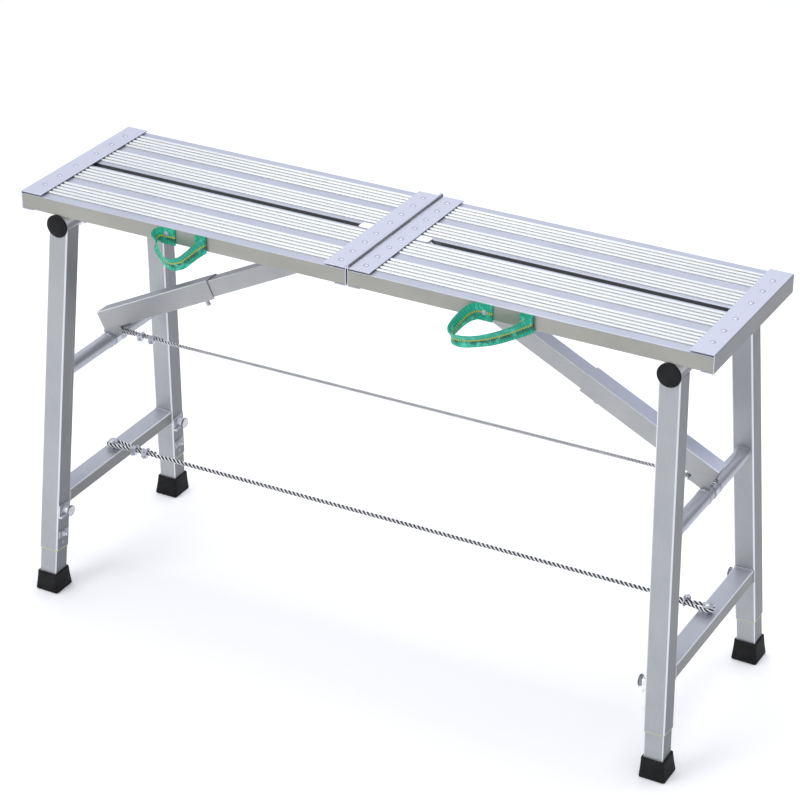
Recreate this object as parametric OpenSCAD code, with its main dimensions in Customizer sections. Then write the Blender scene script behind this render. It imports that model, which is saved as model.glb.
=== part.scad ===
// Folding work platform bench: two hinged deck halves, each on a folding leg frame
// with a telescoping brace, tied together by two wire ropes. Millimetres, +Z up.
// Origin: on the floor, under the middle of the deck. X along the deck, front at -Y.

/* [Deck] */
// Length of the whole deck
deck_length = 1170; // [1130:5:1220]
// Width of the deck, front to back
deck_width = 300; // [280:5:310]
// Height of the tread ribs above the floor
deck_top = 696.5; // [690:0.5:702]
// Depth of a plank, from its ribs to its underside
plank_depth = 27.6; // [24:0.2:28]
// Open gap between the front and the rear plank
plank_gap = 12; // [11:0.5:16]
// Wall thickness of the plank extrusion
plank_wall = 1.4; // [1.2:0.1:2]
// Height of a tread rib
rib_height = 2.4; // [1.6:0.1:2.6]
// Width of a tread rib at its foot
rib_width = 5.4; // [4:0.2:6.5]
// Distance between neighbouring ribs
rib_pitch = 10.4; // [9:0.1:11]

/* [Deck channels and hinge] */
// Width of the sheet channels over the plank ends
channel_width = 38; // [32:1:44]
// Sheet thickness of the channels
sheet = 1.5; // [1:0.1:1.5]
// Gap between the two halves, below the hinge
half_gap = 2.4; // [2:0.2:3]
// Radius of the hinge barrel
barrel_r = 3.2; // [3:0.1:3.4]
// Radius of the hinge pin
hinge_pin_r = 1.8; // [1.5:0.1:2]
// Length of a hinge knuckle
knuckle = 60; // [50:2:70]
// Where the foremost knuckle joint is, across the deck
first_knuckle_y = -76; // [-90:2:-60]

/* [Leg frames] */
// Distance of each leg pivot from the middle of the deck
pivot_x = 519.2; // [510:0.2:525]
// Height of the leg pivots
pivot_z = 651; // [650.5:0.1:651]
// Radius of the pivot tube
pivot_r = 17.5; // [17:0.1:17.5]
// Outward tilt of each leg frame, in degrees
frame_tilt = 2.6; // [1:0.1:4]
// Outward lean of each leg within its frame, in degrees
leg_lean = 4.68; // [3:0.02:6]
// Distance of the leg tops from the middle line
leg_top_y = 131.5; // [128:0.5:132]
// Width of the square leg tube
leg_size = 34.5; // [32:0.5:36]
// Wall of the leg tube
leg_wall = 1.2; // [1.2:0.1:1.6]
// Length of a leg tube, from the pivot height to its lower end
leg_length = 575.5; // [570:0.5:580]
// Distance of the round cross tube below the pivot, along the frame
cross_drop = 262.3; // [255:0.1:270]
// Radius of the cross tube
cross_r = 12.5; // [11.5:0.1:12.5]
// Distance of the lower rail below the pivot, along the frame
rail_drop = 486; // [480:1:490]
// Height of the lower rail section
rail_height = 23; // [20:1:26]
// Width of the lower rail section
rail_width = 32.5; // [30:0.5:34]

/* [Feet] */
// Height of a rubber foot
foot_height = 35; // [30:1:38]
// Length of the extension tube inside each leg
extension_length = 360; // [330:5:370]
// How far a foot slides out
foot_out = 160; // [120:10:160]
// How far a foot slides in
foot_in = 40; // [20:2:40]

/* [Braces] */
// Distance of the brace pivot from the middle of the deck
brace_x = 82; // [78:1:90]
// Height of the brace pivot
brace_z = 654; // [652:0.2:654.4]
// Sideways place of the braces and ropes
brace_y = 2; // [0:0.5:3]
// Slope of the brace, in degrees below level
brace_slope = 26.5; // [26:0.1:27]
// Distance from the brace pivot to the brace's lower end
brace_end = 518; // [516:0.5:519]
// Distance from the brace pivot to the upper end of the lower channel
brace_overlap = 277; // [270:1:285]
// Outer width of the lower brace channel
brace_width = 32; // [30:0.5:32]
// Depth of the lower brace channel
brace_depth = 33; // [30:0.5:33]
// How much the brace shortens when it is stowed
brace_travel = 110; // [109:0.5:112]

/* [Ropes and straps] */
// Radius of the upper wire rope
upper_rope_r = 2.8; // [2.4:0.1:2.8]
// Radius of the lower wire rope
lower_rope_r = 3.4; // [3:0.1:3.6]
// Height of the lower rope
lower_rope_z = 186; // [185:0.5:187]
// Width of the strap webbing
strap_width = 27; // [24:1:27]
// Thickness of the strap webbing
strap_thick = 2.2; // [1.6:0.1:2.4]

/* [Hidden] */
$fn = 48;

half_length = deck_length / 2;
deck_floor = deck_top - plank_depth;     // underside of the planks
plate_z = deck_top - rib_height;         // upper face of the plank's top plate
plank_width = (deck_width - plank_gap) / 2;
plank_corner = 1.5;                      // outer corner radius of a plank
rib_groups = [32.2, 101.8];              // middle of each rib group, from the gap edge
channel_top = deck_top + sheet;
hinge_z = deck_floor + plank_depth + 3.1;
channel_lip = 20;                        // width of the channels' lower flange
knuckle_play = 0.15;                     // end clearance of each knuckle
tongue_width = 9;
tongue_plate = 18;                       // width of the tongue's flat upper end
tongue_bend = 54;                        // where the tongue bends down into the gap
running = 0.05;                          // radial clearance of a running fit
swing_gap = 0.3;                         // clearance between curved moving faces
end_rivets = [29, 73, 113];              // rivet places on an end channel, each side
hinge_rivets = [22.3, 58, 94.5, 128.6];  // rivet places on a hinge channel, each side
rivet_r = 4.5;
rivet_h = 1.6;

saddle_y = 75;                           // middle of each pivot tube saddle
saddle_width = 26;
saddle_sheet = 2;
bracket_sheet = 2.2;
brace_pin_r = 4;

pin_drop = 502;                          // pull pin, below the pivot along the leg
screw_drop = 547;                        // stop screw
dimple_drop = 564.5;                     // stop dimple
pin_r = 3;
tube_corner = 3;                         // outer corner radius of the leg tubes
foot_gap = 0.15;                         // play between leg tube and extension tube
extension_size = leg_size - 2 * leg_wall - 2 * foot_gap;
extension_wall = 1.6;
extension_end = 642;                     // lower end of the extension, below the pivot

brace_sheet = 1.5;
brace_bend = 2.2;                        // outer corner radius of the brace channels
brace_top = 13.5;                        // top of the lower channel above the pivot line
brace_play = 0.28;                       // play between the nested channels
cheek = 1.4;                             // thickness of the cheek plates in the brace's end
upper_channel_end = brace_end - 34 - brace_travel;
plunger_at = 305;
plunger_r = 3.5;

cross_x = pivot_x + cross_drop * sin(frame_tilt);
cross_z = pivot_z - cross_drop * cos(frame_tilt);
bolt_x = pivot_x + (rail_drop - rail_height / 2) * sin(frame_tilt);
rail_top_z = pivot_z - (rail_drop - rail_height / 2) * cos(frame_tilt);
rope_offset = 3.2;                       // each rope end is tied this far off the brace line
stud_r = 3.5;                            // stud that holds the upper rope's eye
rope_bolt_r = 5;                         // bolt that holds the lower rope's eye
anchor_r = cross_r + 1.2;                // ring that carries the stud
upper_rope_z = cross_z + anchor_r + swing_gap + upper_rope_r;
upper_clip_at = [59, 81];                // clip distances from the left stud
lower_clip_at = [45, 67];                // clip distances from the left bolt
right_upper_clip_at = [33, 55];
right_lower_clip_at = [37];
rope_tail = 16;                          // loose rope end beyond the last clip
rope_sides = 10;
strap_gap = 0.3;                         // between a strap tab and the skirt
left_strap_rivets = [[-315, 684], [-257, 680]];
right_strap_rivets = [[229, 680], [293, 680]];

// Middle lines of the straps: from one riveted tab, round the loop, to the other tab.
left_strap_line = [
  [-299, -151.4, 680], [-315, -151.4, 680], [-329, -151.6, 680], [-335, -153.5, 678],
  [-338, -157, 675], [-335, -162, 669], [-323, -169, 662], [-307, -177, 655],
  [-289, -182, 651], [-273, -180, 656], [-262, -173, 665], [-254, -165, 673],
  [-247, -157.5, 679], [-244, -154, 680.5], [-247, -151.8, 680.5], [-253, -151.4, 680], [-268, -151.4, 680]
];
right_strap_line = [
  [242, -151.4, 680], [228, -151.4, 680], [217, -152.8, 680], [207, -157.5, 675],
  [199, -163.5, 667], [192, -171, 657], [189, -179, 649], [194, -186, 645.5], [210, -189.5, 646.5],
  [230, -189, 650.5], [252, -185.5, 657], [273, -178.5, 665], [290, -168, 672], [302, -158.5, 678],
  [307, -154.5, 680.5], [303, -152.2, 680.5], [298, -151.5, 680], [286, -151.4, 680]
];

aluminium = "gainsboro";
bright = "silver";
zinc = "lightgray";
black = [0.08, 0.08, 0.08];
webbing = "mediumseagreen";

// ---------- helpers ----------

// Places geometry drawn for the right half on the right or, mirrored, on the left.
module on_side(side) {
  if (side > 0) children();
  else mirror([1, 0, 0]) children();
}

// Leg frame coordinates: origin on the pivot axis, -Z down along the tilted frame.
module in_frame(side) {
  on_side(side) translate([pivot_x, 0, pivot_z]) rotate([0, -frame_tilt, 0]) children();
}

// Leg coordinates: origin at the leg's top, -Z down along the leg.
module in_leg(side, row) {
  in_frame(side) translate([0, row * leg_top_y, 0]) rotate([row * leg_lean, 0, 0]) children();
}

// Brace coordinates: origin on the brace pivot, +X down along the brace.
module in_brace(side) {
  on_side(side) translate([brace_x, brace_y, brace_z]) rotate([0, brace_slope, 0]) children();
}

// A cylinder along Y, centred on the origin.
module y_cylinder(radius, length) {
  rotate([90, 0, 0]) cylinder(r = radius, h = length, center = true);
}

// A cylinder along X from x0 to x1.
module x_cylinder(radius, x0, x1) {
  translate([x0, 0, 0]) rotate([0, 90, 0]) cylinder(r = radius, h = x1 - x0);
}

// A rectangle centred on the origin, with round corners.
module rounded_rectangle(width, height, radius) {
  square([width - 2 * radius, height], center = true);
  square([width, height - 2 * radius], center = true);
  for (x = [-1, 1], y = [-1, 1])
    translate([x * (width / 2 - radius), y * (height / 2 - radius)]) circle(r = radius);
}

module tube_section(width, height, wall, radius) {
  difference() {
    rounded_rectangle(width, height, radius);
    rounded_rectangle(width - 2 * wall, height - 2 * wall, max(0.3, radius - wall));
  }
}

// A square tube along Z from z0 up to z1.
module square_tube(size, wall, radius, z0, z1) {
  translate([0, 0, z0]) linear_extrude(height = z1 - z0, convexity = 4)
    tube_section(size, size, wall, radius);
}

// A domed rivet head on the plane z = 0, with a shank of the given length below it.
module rivet(radius, height, shank) {
  rotate_extrude($fn = 32)
    polygon([[0, -shank], [radius * 0.45, -shank], [radius * 0.45, 0], [radius, 0],
      [radius * 0.94, height * 0.4], [radius * 0.7, height * 0.8],
      [radius * 0.35, height * 0.96], [0, height]]);
}

function add(a, b) = [for (i = [0:2]) a[i] + b[i]];
function unit(v) = v / norm(v);

// Rings of a swept tube: one per route point, square to the route.
function tube_ring(route, i, radius, sides) =
  let (n = len(route) - 1,
       along = unit(route[min(i + 1, n)] - route[max(i - 1, 0)]),
       reference = abs(along[1]) > 0.9 ? [0, 0, 1] : [0, 1, 0],
       a = unit(cross(along, reference)),
       b = cross(along, a))
  [for (k = [0:sides - 1]) route[i] + radius * (cos(360 * k / sides) * a + sin(360 * k / sides) * b)];

// Closed skin over equal rings of points, with flat ends.
module skin(rings) {
  n = len(rings);
  m = len(rings[0]);
  points = [for (ring = rings) for (p = ring) p];
  sides = [for (i = [0:n - 2]) for (k = [0:m - 1]) for (half = [0, 1])
    half == 0 ? [i * m + k, i * m + (k + 1) % m, (i + 1) * m + (k + 1) % m]
      : [i * m + k, (i + 1) * m + (k + 1) % m, (i + 1) * m + k]];
  ends = [[for (k = [m - 1:-1:0]) k], [for (k = [0:m - 1]) (n - 1) * m + k]];
  polyhedron(points = points, faces = concat(sides, ends), convexity = 8);
}

module swept_tube(route, radius, sides) {
  skin([for (i = [0:len(route) - 1]) tube_ring(route, i, radius, sides)]);
}

// ---------- deck ----------

// Section of a plank, from the gap edge (0) outward, hollow with two inner webs.
module plank_section() {
  web_pitch = (plank_width - plank_wall) / 3;
  difference() {
    union() {
      translate([plank_width / 2, (plate_z + deck_floor) / 2])
        rounded_rectangle(plank_width, plate_z - deck_floor, plank_corner);
      for (group = rib_groups, i = [-2:2])
        translate([group + i * rib_pitch, plate_z])
          polygon([[-rib_width / 2, -0.2], [rib_width / 2, -0.2], [rib_width / 2, rib_height * 0.35],
            [rib_width * 0.3, rib_height], [-rib_width * 0.3, rib_height],
            [-rib_width / 2, rib_height * 0.35]]);
    }
    for (i = [0:2])
      translate([plank_wall + i * web_pitch, deck_floor + plank_wall])
        square([web_pitch - plank_wall, plate_z - deck_floor - 2 * plank_wall]);
  }
}

module plank(side, row) {
  x0 = half_gap / 2 + sheet + 0.1;
  x1 = half_length - sheet - 0.1;
  color(aluminium)
    on_side(side) mirror([0, row > 0 ? 0 : 1, 0])
      translate([x0, plank_gap / 2, 0]) rotate([90, 0, 90])
        linear_extrude(height = x1 - x0, convexity = 8) plank_section();
}

// Channel section in X and Z that wraps a plank end, drawn with its web at +X.
module channel_section(web_x) {
  inner_x = web_x - sheet;
  translate([web_x - channel_width, deck_top]) square([channel_width - sheet, sheet]);
  translate([web_x - channel_lip, deck_floor - sheet]) square([channel_lip - sheet, sheet]);
  translate([inner_x, deck_floor]) square([sheet, plank_depth]);
  translate([inner_x, deck_top]) intersection() {
    circle(r = sheet);
    square(sheet);
  }
  translate([inner_x, deck_floor]) intersection() {
    circle(r = sheet);
    translate([0, -sheet]) square(sheet);
  }
}

module channel_blank(web_x) {
  translate([0, deck_width / 2, 0]) rotate([90, 0, 0])
    linear_extrude(height = deck_width, convexity = 4) channel_section(web_x);
}

module end_channel(side) {
  color(aluminium) on_side(side) channel_blank(half_length);
}

knuckle_joints = [for (i = [0:3]) first_knuckle_y + i * knuckle];
knuckle_edges = concat([-deck_width / 2], knuckle_joints, [deck_width / 2]);

// Barrel stretches of one half: even ones belong to the left half, odd ones to the right.
module barrels(first, radius, play) {
  for (i = [first:2:4]) {
    y0 = knuckle_edges[i] - (i > 0 ? play : 0);
    y1 = knuckle_edges[i + 1] + (i < 4 ? play : 0);
    translate([0, (y0 + y1) / 2, hinge_z]) y_cylinder(radius, y1 - y0);
  }
}

module hinge_channel(side) {
  own = side < 0 ? 0 : 1;
  color(aluminium)
    difference() {
      union() {
        on_side(-side) channel_blank(-half_gap / 2);
        barrels(own, barrel_r, -knuckle_play);
        for (i = [own:2:4])
          on_side(side) translate([0, knuckle_edges[i] + (i > 0 ? knuckle_play : 0), deck_top])
            cube([half_gap, knuckle_edges[i + 1] - knuckle_edges[i]
              - (i > 0 ? knuckle_play : 0) - (i < 4 ? knuckle_play : 0), sheet]);
      }
      barrels(1 - own, barrel_r + 0.4, knuckle_play);
      translate([0, 0, hinge_z]) y_cylinder(hinge_pin_r + (side < 0 ? 0 : running), deck_width + 2);
    }
}

module hinge_pin() {
  color(bright) translate([0, 0, hinge_z]) y_cylinder(hinge_pin_r, deck_width);
}

module deck_rivets(side) {
  strap_rivets = side < 0 ? left_strap_rivets : right_strap_rivets;
  color(zinc) {
    on_side(side) for (row = [-1, 1]) {
      for (y = end_rivets)
        translate([half_length - channel_width / 2, row * y, channel_top])
          rivet(rivet_r, rivet_h, sheet + 3);
      for (y = hinge_rivets)
        translate([half_gap / 2 + channel_width / 2 + 1, row * y, channel_top])
          rivet(rivet_r, rivet_h, sheet + 3);
      for (dx = [-1, 1], y = [-6, 6])
        translate([pivot_x + dx * (pivot_r + 11), row * saddle_y + y, deck_floor - saddle_sheet])
          rotate([180, 0, 0]) rivet(3, 1.2, saddle_sheet + plank_wall);
      translate([50, row * 22, deck_floor - bracket_sheet])
        rotate([180, 0, 0]) rivet(3, 1.2, bracket_sheet + plank_wall);
      translate([99, row * 27, deck_floor - bracket_sheet])
        rotate([180, 0, 0]) rivet(3, 1.2, bracket_sheet + plank_wall);
    }
    for (place = strap_rivets)
      translate([place[0], -deck_width / 2 - strap_gap - strap_thick, place[1]])
        rotate([90, 0, 0]) rivet(4.2, 1.2, strap_gap + strap_thick + plank_wall);
  }
}

// Two U-shaped straps that hold the pivot tube under the planks.
module tube_saddles(side) {
  outer = pivot_r + running + saddle_sheet;
  rise = deck_floor - pivot_z;
  color(zinc) on_side(side) for (row = [-1, 1])
    translate([pivot_x, row * saddle_y, pivot_z])
      difference() {
        union() {
          y_cylinder(outer, saddle_width);
          translate([-outer, -saddle_width / 2, 0]) cube([2 * outer, saddle_width, rise]);
          translate([-outer - 16, -saddle_width / 2, rise - saddle_sheet])
            cube([2 * outer + 32, saddle_width, saddle_sheet]);
        }
        y_cylinder(pivot_r + running, saddle_width + 2);
        translate([-pivot_r - running, -saddle_width, 0])
          cube([2 * (pivot_r + running), 2 * saddle_width, rise + 5]);
      }
}

// Clevis for the brace, with a sloping tongue that stands in the gap between the planks.
module brace_bracket(side) {
  ear_in = brace_width / 2 + 0.4;
  ear_r = 11;
  color(zinc) on_side(side) {
    translate([28, brace_y - 34, deck_floor - bracket_sheet]) cube([78, 68, bracket_sheet]);
    for (row = [-1, 1])
      translate([brace_x, brace_y + row * (ear_in + bracket_sheet / 2), brace_z])
        difference() {
          union() {
            y_cylinder(ear_r, bracket_sheet);
            translate([-ear_r, -bracket_sheet / 2, 0])
              cube([2 * ear_r, bracket_sheet, deck_floor - brace_z - bracket_sheet / 2]);
          }
          y_cylinder(brace_pin_r, bracket_sheet + 2);
        }
    translate([0, tongue_width / 2, 0]) rotate([90, 0, 0])
      linear_extrude(height = tongue_width)
        polygon([[30, deck_floor - 1], [30, plate_z + 1.7], [tongue_bend, plate_z + 1.7],
          [88, deck_floor], [88, deck_floor - 1]]);
    // flat upper end with a round tip, lying on both planks
    translate([30, -tongue_plate / 2, plate_z + 0.1]) cube([tongue_bend - 30, tongue_plate, 1.6]);
    intersection() {
      translate([tongue_bend, 0, plate_z + 0.1]) cylinder(r = tongue_plate / 2, h = 1.6);
      translate([tongue_bend, -tongue_plate / 2, plate_z]) cube([6.5, tongue_plate, 2]);
    }
  }
}

module brace_pin(side) {
  reach = brace_width / 2 + 0.4 + bracket_sheet;
  color(bright) on_side(side) translate([brace_x, brace_y, brace_z]) {
    y_cylinder(brace_pin_r, 2 * reach);
    for (row = [-1, 1])
      translate([0, row * (reach + 1.2), 0]) y_cylinder(6.5, 2.4);
  }
}

// ---------- leg frames ----------

module pivot_tube(side) {
  color(aluminium) in_frame(side)
    difference() {
      y_cylinder(pivot_r, deck_width + 0.4);
      y_cylinder(pivot_r - 1.8, deck_width + 2);
    }
}

module tube_caps(side) {
  tube_end = deck_width / 2 + 0.2;
  color(black) in_frame(side) for (row = [-1, 1])
    rotate([row > 0 ? -90 : 90, 0, 0]) rotate_extrude($fn = 64)
      polygon([[0, tube_end - 12], [pivot_r - 1.9, tube_end - 12], [pivot_r - 1.9, tube_end + 0.1],
        [pivot_r + 1.3, tube_end + 0.1], [pivot_r + 1.3, tube_end + 2], [pivot_r, tube_end + 3.2],
        [pivot_r * 0.6, tube_end + 4.3], [0, tube_end + 4.6]]);
}

module leg(side, row) {
  color(aluminium)
    difference() {
      in_leg(side, row)
        difference() {
          square_tube(leg_size, leg_wall, tube_corner, -leg_length, -6);
          // hole for the pull pin in the inner face
          translate([0, 0, -pin_drop]) x_cylinder(pin_r + running, -leg_size, 0);
        }
      in_frame(side) y_cylinder(pivot_r + 0.02, deck_width + 60);
    }
}

// Round tube between the legs, with two welded rings beside the brace end.
module cross_tube(side) {
  y_in = leg_top_y + cross_drop * tan(leg_lean) - leg_size / 2 / cos(leg_lean) - 1.2;
  ring_width = 3.6;
  ring_y = brace_width / 2 + 1.2 + ring_width / 2;
  color(aluminium) in_frame(side) translate([0, 0, -cross_drop])
    difference() {
      union() {
        y_cylinder(cross_r, 2 * y_in);
        for (row = [-1, 1])
          translate([0, brace_y + row * ring_y, 0]) y_cylinder(cross_r + 0.9, ring_width);
      }
      y_cylinder(cross_r - 1.5, 2 * y_in + 2);
    }
}

module lower_rail(side) {
  half_y = leg_top_y + rail_drop * tan(leg_lean) - leg_size / 2 / cos(leg_lean);
  slant = rail_height / 2 * tan(leg_lean);
  color(aluminium) difference() {
    in_frame(side) translate([0, 0, -rail_drop])
      intersection() {
        translate([0, half_y + slant, 0]) rotate([90, 0, 0])
          linear_extrude(height = 2 * (half_y + slant), convexity = 4)
            tube_section(rail_width, rail_height, 1.5, 2.4);
        translate([-rail_width, 0, 0]) rotate([90, 0, 90])
          linear_extrude(height = 2 * rail_width)
            polygon([[slant - half_y, rail_height / 2], [half_y - slant, rail_height / 2],
              [half_y + slant, -rail_height / 2], [-half_y - slant, -rail_height / 2]]);
      }
    translate([side * bolt_x, bolt_y(side), rail_top_z - 8]) cylinder(r = rope_bolt_r, h = 20);
  }
}

// Saddle plate, pin housing, stop screw and dimple on the inner face of each leg.
module lock_plates(side) {
  face = -leg_size / 2;
  color(bright) for (row = [-1, 1]) in_leg(side, row) {
    translate([0, 0, -pin_drop])
      difference() {
        union() {
          translate([face - 1.4, -15, -10]) cube([1.4, 30, 20]);
          translate([face - 6, -15, -12]) cube([6, 30, 2]);
          x_cylinder(6.2, face - 10.2, face - 1);
        }
        x_cylinder(pin_r + running, face - 20, face + 1);
      }
    translate([0, 0, -screw_drop]) {
      translate([face - 1.4, -13, -6]) cube([1.4, 26, 12]);
      rotate([0, -90, 0]) translate([0, 0, -face]) cylinder(r = 5.4, h = 5.6, $fn = 6);
      x_cylinder(2.9, face - 9, face - 1);
    }
    translate([face, 0, -dimple_drop]) rotate([0, -90, 0]) rivet(3, 0.9, 0);
  }
}

module pull_pin(side, row) {
  face = -leg_size / 2;
  color(bright) in_leg(side, row) translate([0, 0, -pin_drop]) {
    x_cylinder(pin_r, face - 13, face + 5.6);
    translate([face - 10.6, 0, 0]) rotate([0, -90, 0]) rotate_extrude($fn = 48)
      polygon([[0, 0], [6, 0], [9, 1.6], [9.4, 2.2], [9.4, 4.6], [8.8, 5.2], [0, 5.2]]);
  }
}

module extension(side, row) {
  slot_low = pin_drop + foot_in + pin_r + 0.2;
  slot_high = pin_drop - foot_out - pin_r - 0.2;
  color(aluminium) in_leg(side, row)
    difference() {
      square_tube(extension_size, extension_wall, tube_corner - leg_wall + 0.4,
        -extension_end, -extension_end + extension_length);
      // slot for the tip of the pull pin
      translate([-extension_size, -pin_r - 0.1, -slot_low])
        cube([extension_size, 2 * pin_r + 0.2, slot_low - slot_high]);
    }
}

module foot(side, row) {
  color(black) difference() {
    on_side(side) hull() {
      translate([548.4 - 21.6, row * 181.3 - 22.4, 0]) cube([43.2, 44.8, 3]);
      translate([547.2 - 18.9, row * 182.1 - 19.4, foot_height - 1]) cube([37.8, 38.8, 1]);
    }
    in_leg(side, row) translate([0, 0, -extension_end])
      translate([-extension_size / 2, -extension_size / 2, 0]) cube([extension_size, extension_size, 80]);
  }
}

// ---------- braces ----------

// Open-bottomed channel along X from x0 to x1, with round upper corners.
module channel(x0, x1, width, top, bottom) {
  translate([x0, 0, 0]) rotate([90, 0, 90])
    linear_extrude(height = x1 - x0, convexity = 4)
      difference() {
        union() {
          translate([-width / 2, bottom]) square([width, top - bottom - brace_bend]);
          translate([brace_bend - width / 2, bottom]) square([width - 2 * brace_bend, top - bottom]);
          for (y = [-1, 1])
            translate([y * (width / 2 - brace_bend), top - brace_bend]) circle(r = brace_bend);
        }
        translate([brace_sheet - width / 2, bottom - 1])
          square([width - 2 * brace_sheet, top - bottom - brace_sheet + 1]);
      }
}

upper_width = brace_width - 2 * brace_sheet - 2 * brace_play;
upper_top = brace_top - brace_sheet - brace_play;
brace_floor = brace_top - brace_depth;

module brace_upper(side) {
  color(aluminium) in_brace(side)
    difference() {
      union() {
        channel(0, upper_channel_end, upper_width, upper_top, brace_floor + 3.2);
        for (y = [-1, 1])
          translate([0, y * (upper_width - brace_sheet) / 2, 0]) y_cylinder(upper_top, brace_sheet);
      }
      y_cylinder(brace_pin_r + running, brace_width);
    }
}

module brace_lower(side) {
  seat_x = (cross_x - brace_x) * cos(brace_slope) + (brace_z - cross_z) * sin(brace_slope);
  seat_z = (cross_x - brace_x) * sin(brace_slope) - (brace_z - cross_z) * cos(brace_slope);
  color(aluminium) in_brace(side)
    difference() {
      union() {
        channel(brace_overlap, brace_end, brace_width, brace_top, brace_floor);
        // two cheek plates that sit on the cross tube
        for (y = [-1, 1])
          translate([0, y * (brace_width / 2 - brace_sheet - cheek / 2) - cheek / 2, 0]) {
            translate([brace_end - 32, 0, seat_z + 6]) cube([36, cheek, brace_floor - seat_z - 5]);
            translate([brace_end - 32, 0, brace_floor]) cube([32, cheek, brace_depth - brace_sheet / 2]);
          }
        // bridge with the plunger guide
        translate([plunger_at - 10, -brace_width / 2 + 1, brace_floor])
          cube([20, brace_width - 2, 2.2]);
      }
      translate([seat_x, 0, seat_z]) y_cylinder(cross_r + swing_gap, brace_width + 2);
      translate([plunger_at, 0, brace_floor - 1]) cylinder(r = plunger_r + running, h = 5);
    }
}

module brace_plunger(side) {
  color(bright) in_brace(side) translate([plunger_at, 0, 0]) {
    translate([0, 0, brace_floor - 11])
      cylinder(r = plunger_r, h = upper_top - brace_sheet - 0.35 - brace_floor + 11);
    translate([0, 0, -10]) cylinder(r = 5.5, h = 1.6);
  }
}

// ---------- ropes ----------

function bolt_y(side) = brace_y + side * rope_offset;

// Wire rope clip on two strands that run along X, side by side in Y: the origin is midway
// between them, and the saddle and nuts face -Y.
module rope_clip(radius) {
  half_pitch = radius + 0.15;
  wire = 1.3;
  arm = radius + swing_gap + wire;
  saddle_depth = 3;
  difference() {
    translate([-5, -half_pitch - radius - saddle_depth, -arm - wire - 0.4])
      cube([10, radius + saddle_depth, 2 * (arm + wire + 0.4)]);
    translate([0, -half_pitch, 0]) x_cylinder(radius + swing_gap, -8, 8);
  }
  translate([0, half_pitch, 0]) rotate([0, 90, 0])
    rotate_extrude(angle = 180, $fn = 32) translate([arm, 0]) circle(r = wire, $fn = 16);
  for (z = [-arm, arm]) translate([0, half_pitch, z]) rotate([90, 0, 0]) {
    cylinder(r = wire, h = 2 * half_pitch + radius + 6, $fn = 16);
    translate([0, 0, 2 * half_pitch + radius + saddle_depth - 0.2]) cylinder(r = 2.4, h = 2.2, $fn = 6);
  }
}

// Route of one rope end in its own plane: the loose tail, the eye round its post at the
// origin, and the strand that runs on. The tail lies at +Y beside the strand.
function eye_route(post_r, rope_r, clips) =
  let (eye_r = post_r + swing_gap + rope_r,
       half_pitch = rope_r + 0.15,
       near = clips[0] - 8,
       touch = atan2(half_pitch, near) + acos(eye_r / norm([near, half_pitch])),
       steps = 12)
  concat([[clips[len(clips) - 1] + rope_tail, half_pitch], [near, half_pitch]],
    [for (i = [0:steps]) let (a = touch + i * (360 - 2 * touch) / steps) eye_r * [cos(a), sin(a)]],
    [[near, -half_pitch], [near + 30, -half_pitch]]);

function reversed(list) = [for (i = [len(list) - 1:-1:0]) list[i]];

// Points between two ends, without the ends.
function between(a, b, steps) = [for (i = [1:steps - 1]) a + (b - a) * i / steps];

// A whole rope between two posts at the same height.
function rope_route(post_x, height, post_r, rope_r, left_clips, right_clips) =
  let (left = [for (p = eye_route(post_r, rope_r, left_clips))
         [p[0] - post_x, bolt_y(-1) + p[1], height]],
       right = [for (p = eye_route(post_r, rope_r, right_clips))
         [post_x - p[0], bolt_y(1) - p[1], height]])
  concat(left, between(left[len(left) - 1], right[len(right) - 1], 36), reversed(right));

module upper_rope() {
  color(bright)
    swept_tube(rope_route(cross_x, upper_rope_z, stud_r, upper_rope_r, upper_clip_at,
      right_upper_clip_at), upper_rope_r, rope_sides);
}

module lower_rope() {
  color(bright)
    swept_tube(rope_route(bolt_x, lower_rope_z, rope_bolt_r, lower_rope_r, lower_clip_at,
      right_lower_clip_at), lower_rope_r, rope_sides);
}

// Clips at distances from a post, on one end of a rope.
module end_clips(side, post_x, height, radius, distances) {
  for (at = distances)
    translate([side * (post_x - at), bolt_y(side), height])
      rotate([0, 0, side < 0 ? 0 : 180]) rope_clip(radius);
}

module lower_clips(side) {
  color(zinc)
    end_clips(side, bolt_x, lower_rope_z, lower_rope_r, side < 0 ? lower_clip_at : right_lower_clip_at);
}

// Ring that turns on the cross tube, with a headed stud for the rope's eye, and the clips.
module upper_fittings(side) {
  head_z = upper_rope_r * 2 + 2 * swing_gap;
  color(bright) translate([side * cross_x, bolt_y(side), cross_z])
    difference() {
      union() {
        y_cylinder(anchor_r, 11);
        translate([0, 0, cross_r + 0.4]) cylinder(r = stud_r, h = anchor_r - cross_r + head_z);
        translate([0, 0, anchor_r + head_z]) rivet(6, 2.6, 0);
      }
      y_cylinder(cross_r + running, 14);
    }
  color(zinc)
    end_clips(side, cross_x, upper_rope_z, upper_rope_r, side < 0 ? upper_clip_at : right_upper_clip_at);
}

// Headed bolt that stands on the lower rail, with a washer under the rope's eye.
module rope_bolt(side) {
  head_z = lower_rope_z + lower_rope_r + swing_gap;
  color(zinc) translate([side * bolt_x, bolt_y(side), 0]) {
    translate([0, 0, rail_top_z - 6]) cylinder(r = rope_bolt_r, h = head_z - rail_top_z + 6.2);
    translate([0, 0, rail_top_z + 0.45]) cylinder(r = 8.5, h = 1.6);
    translate([0, 0, head_z]) rivet(8.5, 4.4, 0);
  }
}

// ---------- straps ----------

// Webbing leans outward where the loop hangs away from the skirt.
function strap_lean(p) = 26 * min(1, max(0, (-p[1] - deck_width / 2 - 5) / 28));

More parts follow.
